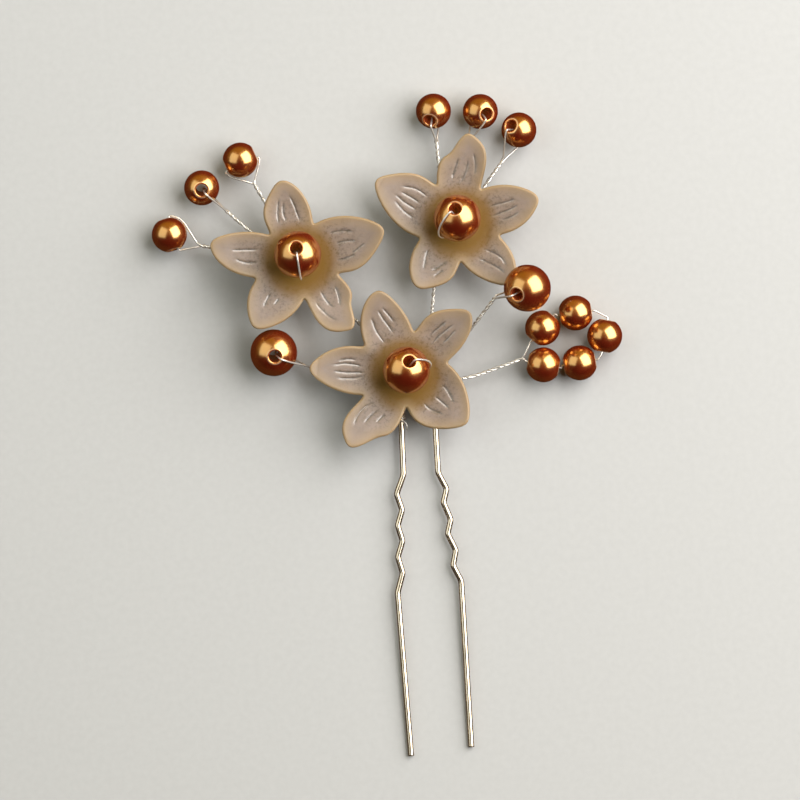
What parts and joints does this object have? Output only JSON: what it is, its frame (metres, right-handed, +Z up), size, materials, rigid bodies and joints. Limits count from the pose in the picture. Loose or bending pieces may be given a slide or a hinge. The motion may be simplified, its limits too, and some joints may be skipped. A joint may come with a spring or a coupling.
{
  "type": "decorative hair pin",
  "caption": "Two-legged hair pin with crimped legs, topped by wired frosted flowers with pearl centres and sprigs of small pearls.",
  "frame": {"origin": "on the table plane, straight below the middle of the pin's crown, with the pin lying on its back", "axes": "+Z up from the table towards the flowers' faces; +Y from the leg tips to the crown; +X across the legs"},
  "size_m": [0.0791, 0.1128, 0.0164],
  "materials": {
    "pin_wire": "bright silver plated wire",
    "fine_wire": "bright silver plated craft wire",
    "frosted_petal": "frosted translucent moulded acrylic",
    "large_pearl": "copper pearl lacquer",
    "small_pearl": "copper pearl lacquer"
  },
  "bodies": {
    "pin": {"hairpin_wire": "pin_wire", "binding_wire": "fine_wire", "flower_wire_left": "fine_wire", "flower_wire_top": "fine_wire", "flower_wire_bottom": "fine_wire", "accent_wire_left": "fine_wire", "accent_wire_right": "fine_wire", "sprig_wire_left_a": "fine_wire", "sprig_wire_left_b": "fine_wire", "sprig_wire_left_c": "fine_wire", "sprig_wire_top_a": "fine_wire", "sprig_wire_top_b": "fine_wire", "sprig_wire_top_c": "fine_wire", "ring_wire": "fine_wire"},
    "flower_left": {"flower_left": "frosted_petal"},
    "flower_top": {"flower_top": "frosted_petal"},
    "flower_bottom": {"flower_bottom": "frosted_petal"},
    "center_pearl_left": {"center_pearl_left": "large_pearl"},
    "center_pearl_top": {"center_pearl_top": "large_pearl"},
    "center_pearl_bottom": {"center_pearl_bottom": "large_pearl"},
    "accent_pearl_left": {"accent_pearl_left": "large_pearl"},
    "accent_pearl_right": {"accent_pearl_right": "large_pearl"},
    "sprig_pearl_left_a": {"sprig_pearl_left_a": "small_pearl"},
    "sprig_pearl_left_b": {"sprig_pearl_left_b": "small_pearl"},
    "sprig_pearl_left_c": {"sprig_pearl_left_c": "small_pearl"},
    "sprig_pearl_top_a": {"sprig_pearl_top_a": "small_pearl"},
    "sprig_pearl_top_b": {"sprig_pearl_top_b": "small_pearl"},
    "sprig_pearl_top_c": {"sprig_pearl_top_c": "small_pearl"},
    "ring_pearl_a": {"ring_pearl_a": "small_pearl"},
    "ring_pearl_b": {"ring_pearl_b": "small_pearl"},
    "ring_pearl_c": {"ring_pearl_c": "small_pearl"},
    "ring_pearl_d": {"ring_pearl_d": "small_pearl"},
    "ring_pearl_e": {"ring_pearl_e": "small_pearl"}
  },
  "joints": [
    {"name": "flower_left_turn", "type": "hinge", "parent": "pin", "child": "flower_left", "pos_m": [-0.0184, 0.0225, 0.0055], "axis": [0, 0, 1], "range_deg": [-10, 10]},
    {"name": "flower_top_turn", "type": "hinge", "parent": "pin", "child": "flower_top", "pos_m": [0.00915, 0.02685, 0.004], "axis": [0, 0, 1], "range_deg": [-10, 10]},
    {"name": "flower_bottom_turn", "type": "hinge", "parent": "pin", "child": "flower_bottom", "pos_m": [-0.00175, 0.0018, 0.0036], "axis": [0, 0, 1], "range_deg": [-10, 10]},
    {"name": "center_pearl_left_spin", "type": "hinge", "parent": "pin", "child": "center_pearl_left", "pos_m": [-0.0185, 0.0235, 0.0119], "axis": [-0.0384, 0.273, 0.9613], "continuous": true},
    {"name": "center_pearl_top_spin", "type": "hinge", "parent": "pin", "child": "center_pearl_top", "pos_m": [0.00895, 0.0278, 0.0104], "axis": [-0.0806, 0.4149, 0.9063], "continuous": true},
    {"name": "center_pearl_bottom_spin", "type": "hinge", "parent": "pin", "child": "center_pearl_bottom", "pos_m": [-0.00145, 0.00265, 0.01], "axis": [0.1589, 0.3744, 0.9135], "continuous": true},
    {"name": "accent_pearl_left_spin", "type": "hinge", "parent": "pin", "child": "accent_pearl_left", "pos_m": [-0.02385, 0.0072, 0.0046], "axis": [0.059, -0.1815, 0.9816], "continuous": true},
    {"name": "accent_pearl_right_spin", "type": "hinge", "parent": "pin", "child": "accent_pearl_right", "pos_m": [0.02, 0.0151, 0.011], "axis": [-0.5111, -0.2604, 0.8192], "continuous": true},
    {"name": "sprig_pearl_left_a_spin", "type": "hinge", "parent": "pin", "child": "sprig_pearl_left_a", "pos_m": [-0.0273, 0.0405, 0.0032], "axis": [0.9397, 0.342, 0], "continuous": true},
    {"name": "sprig_pearl_left_b_spin", "type": "hinge", "parent": "pin", "child": "sprig_pearl_left_b", "pos_m": [-0.0342, 0.0362, 0.00355], "axis": [0.0182, -0.1727, 0.9848], "continuous": true},
    {"name": "sprig_pearl_left_c_spin", "type": "hinge", "parent": "pin", "child": "sprig_pearl_left_c", "pos_m": [-0.0403, 0.0286, 0.003], "axis": [0.2241, -0.9707, 0.0872], "continuous": true},
    {"name": "sprig_pearl_top_a_spin", "type": "hinge", "parent": "pin", "child": "sprig_pearl_top_a", "pos_m": [0.00625, 0.04655, 0.0034], "axis": [-0.2614, -0.6159, 0.7431], "continuous": true},
    {"name": "sprig_pearl_top_b_spin", "type": "hinge", "parent": "pin", "child": "sprig_pearl_top_b", "pos_m": [0.01425, 0.0459, 0.0035], "axis": [0.3718, -0.2323, 0.8988], "continuous": true},
    {"name": "sprig_pearl_top_c_spin", "type": "hinge", "parent": "pin", "child": "sprig_pearl_top_c", "pos_m": [0.0206, 0.0423, 0.0035], "axis": [-0.5064, 0.2693, 0.8192], "continuous": true},
    {"name": "ring_pearl_a_spin", "type": "hinge", "parent": "pin", "child": "ring_pearl_a", "pos_m": [0.0223, 0.00825, 0.003], "axis": [0.7071, 0.7071, 0], "continuous": true},
    {"name": "ring_pearl_b_spin", "type": "hinge", "parent": "pin", "child": "ring_pearl_b", "pos_m": [0.0281, 0.0104, 0.003], "axis": [0.9976, 0.0698, 0], "continuous": true},
    {"name": "ring_pearl_c_spin", "type": "hinge", "parent": "pin", "child": "ring_pearl_c", "pos_m": [0.0328, 0.00615, 0.003], "axis": [-0.2419, -0.9703, 0], "continuous": true},
    {"name": "ring_pearl_d_spin", "type": "hinge", "parent": "pin", "child": "ring_pearl_d", "pos_m": [0.0282, 0.00185, 0.003], "axis": [-0.9945, -0.1045, 0], "continuous": true},
    {"name": "ring_pearl_e_spin", "type": "hinge", "parent": "pin", "child": "ring_pearl_e", "pos_m": [0.022, 0.00195, 0.003], "axis": [-0.9659, 0.2588, 0], "continuous": true}
  ]
}
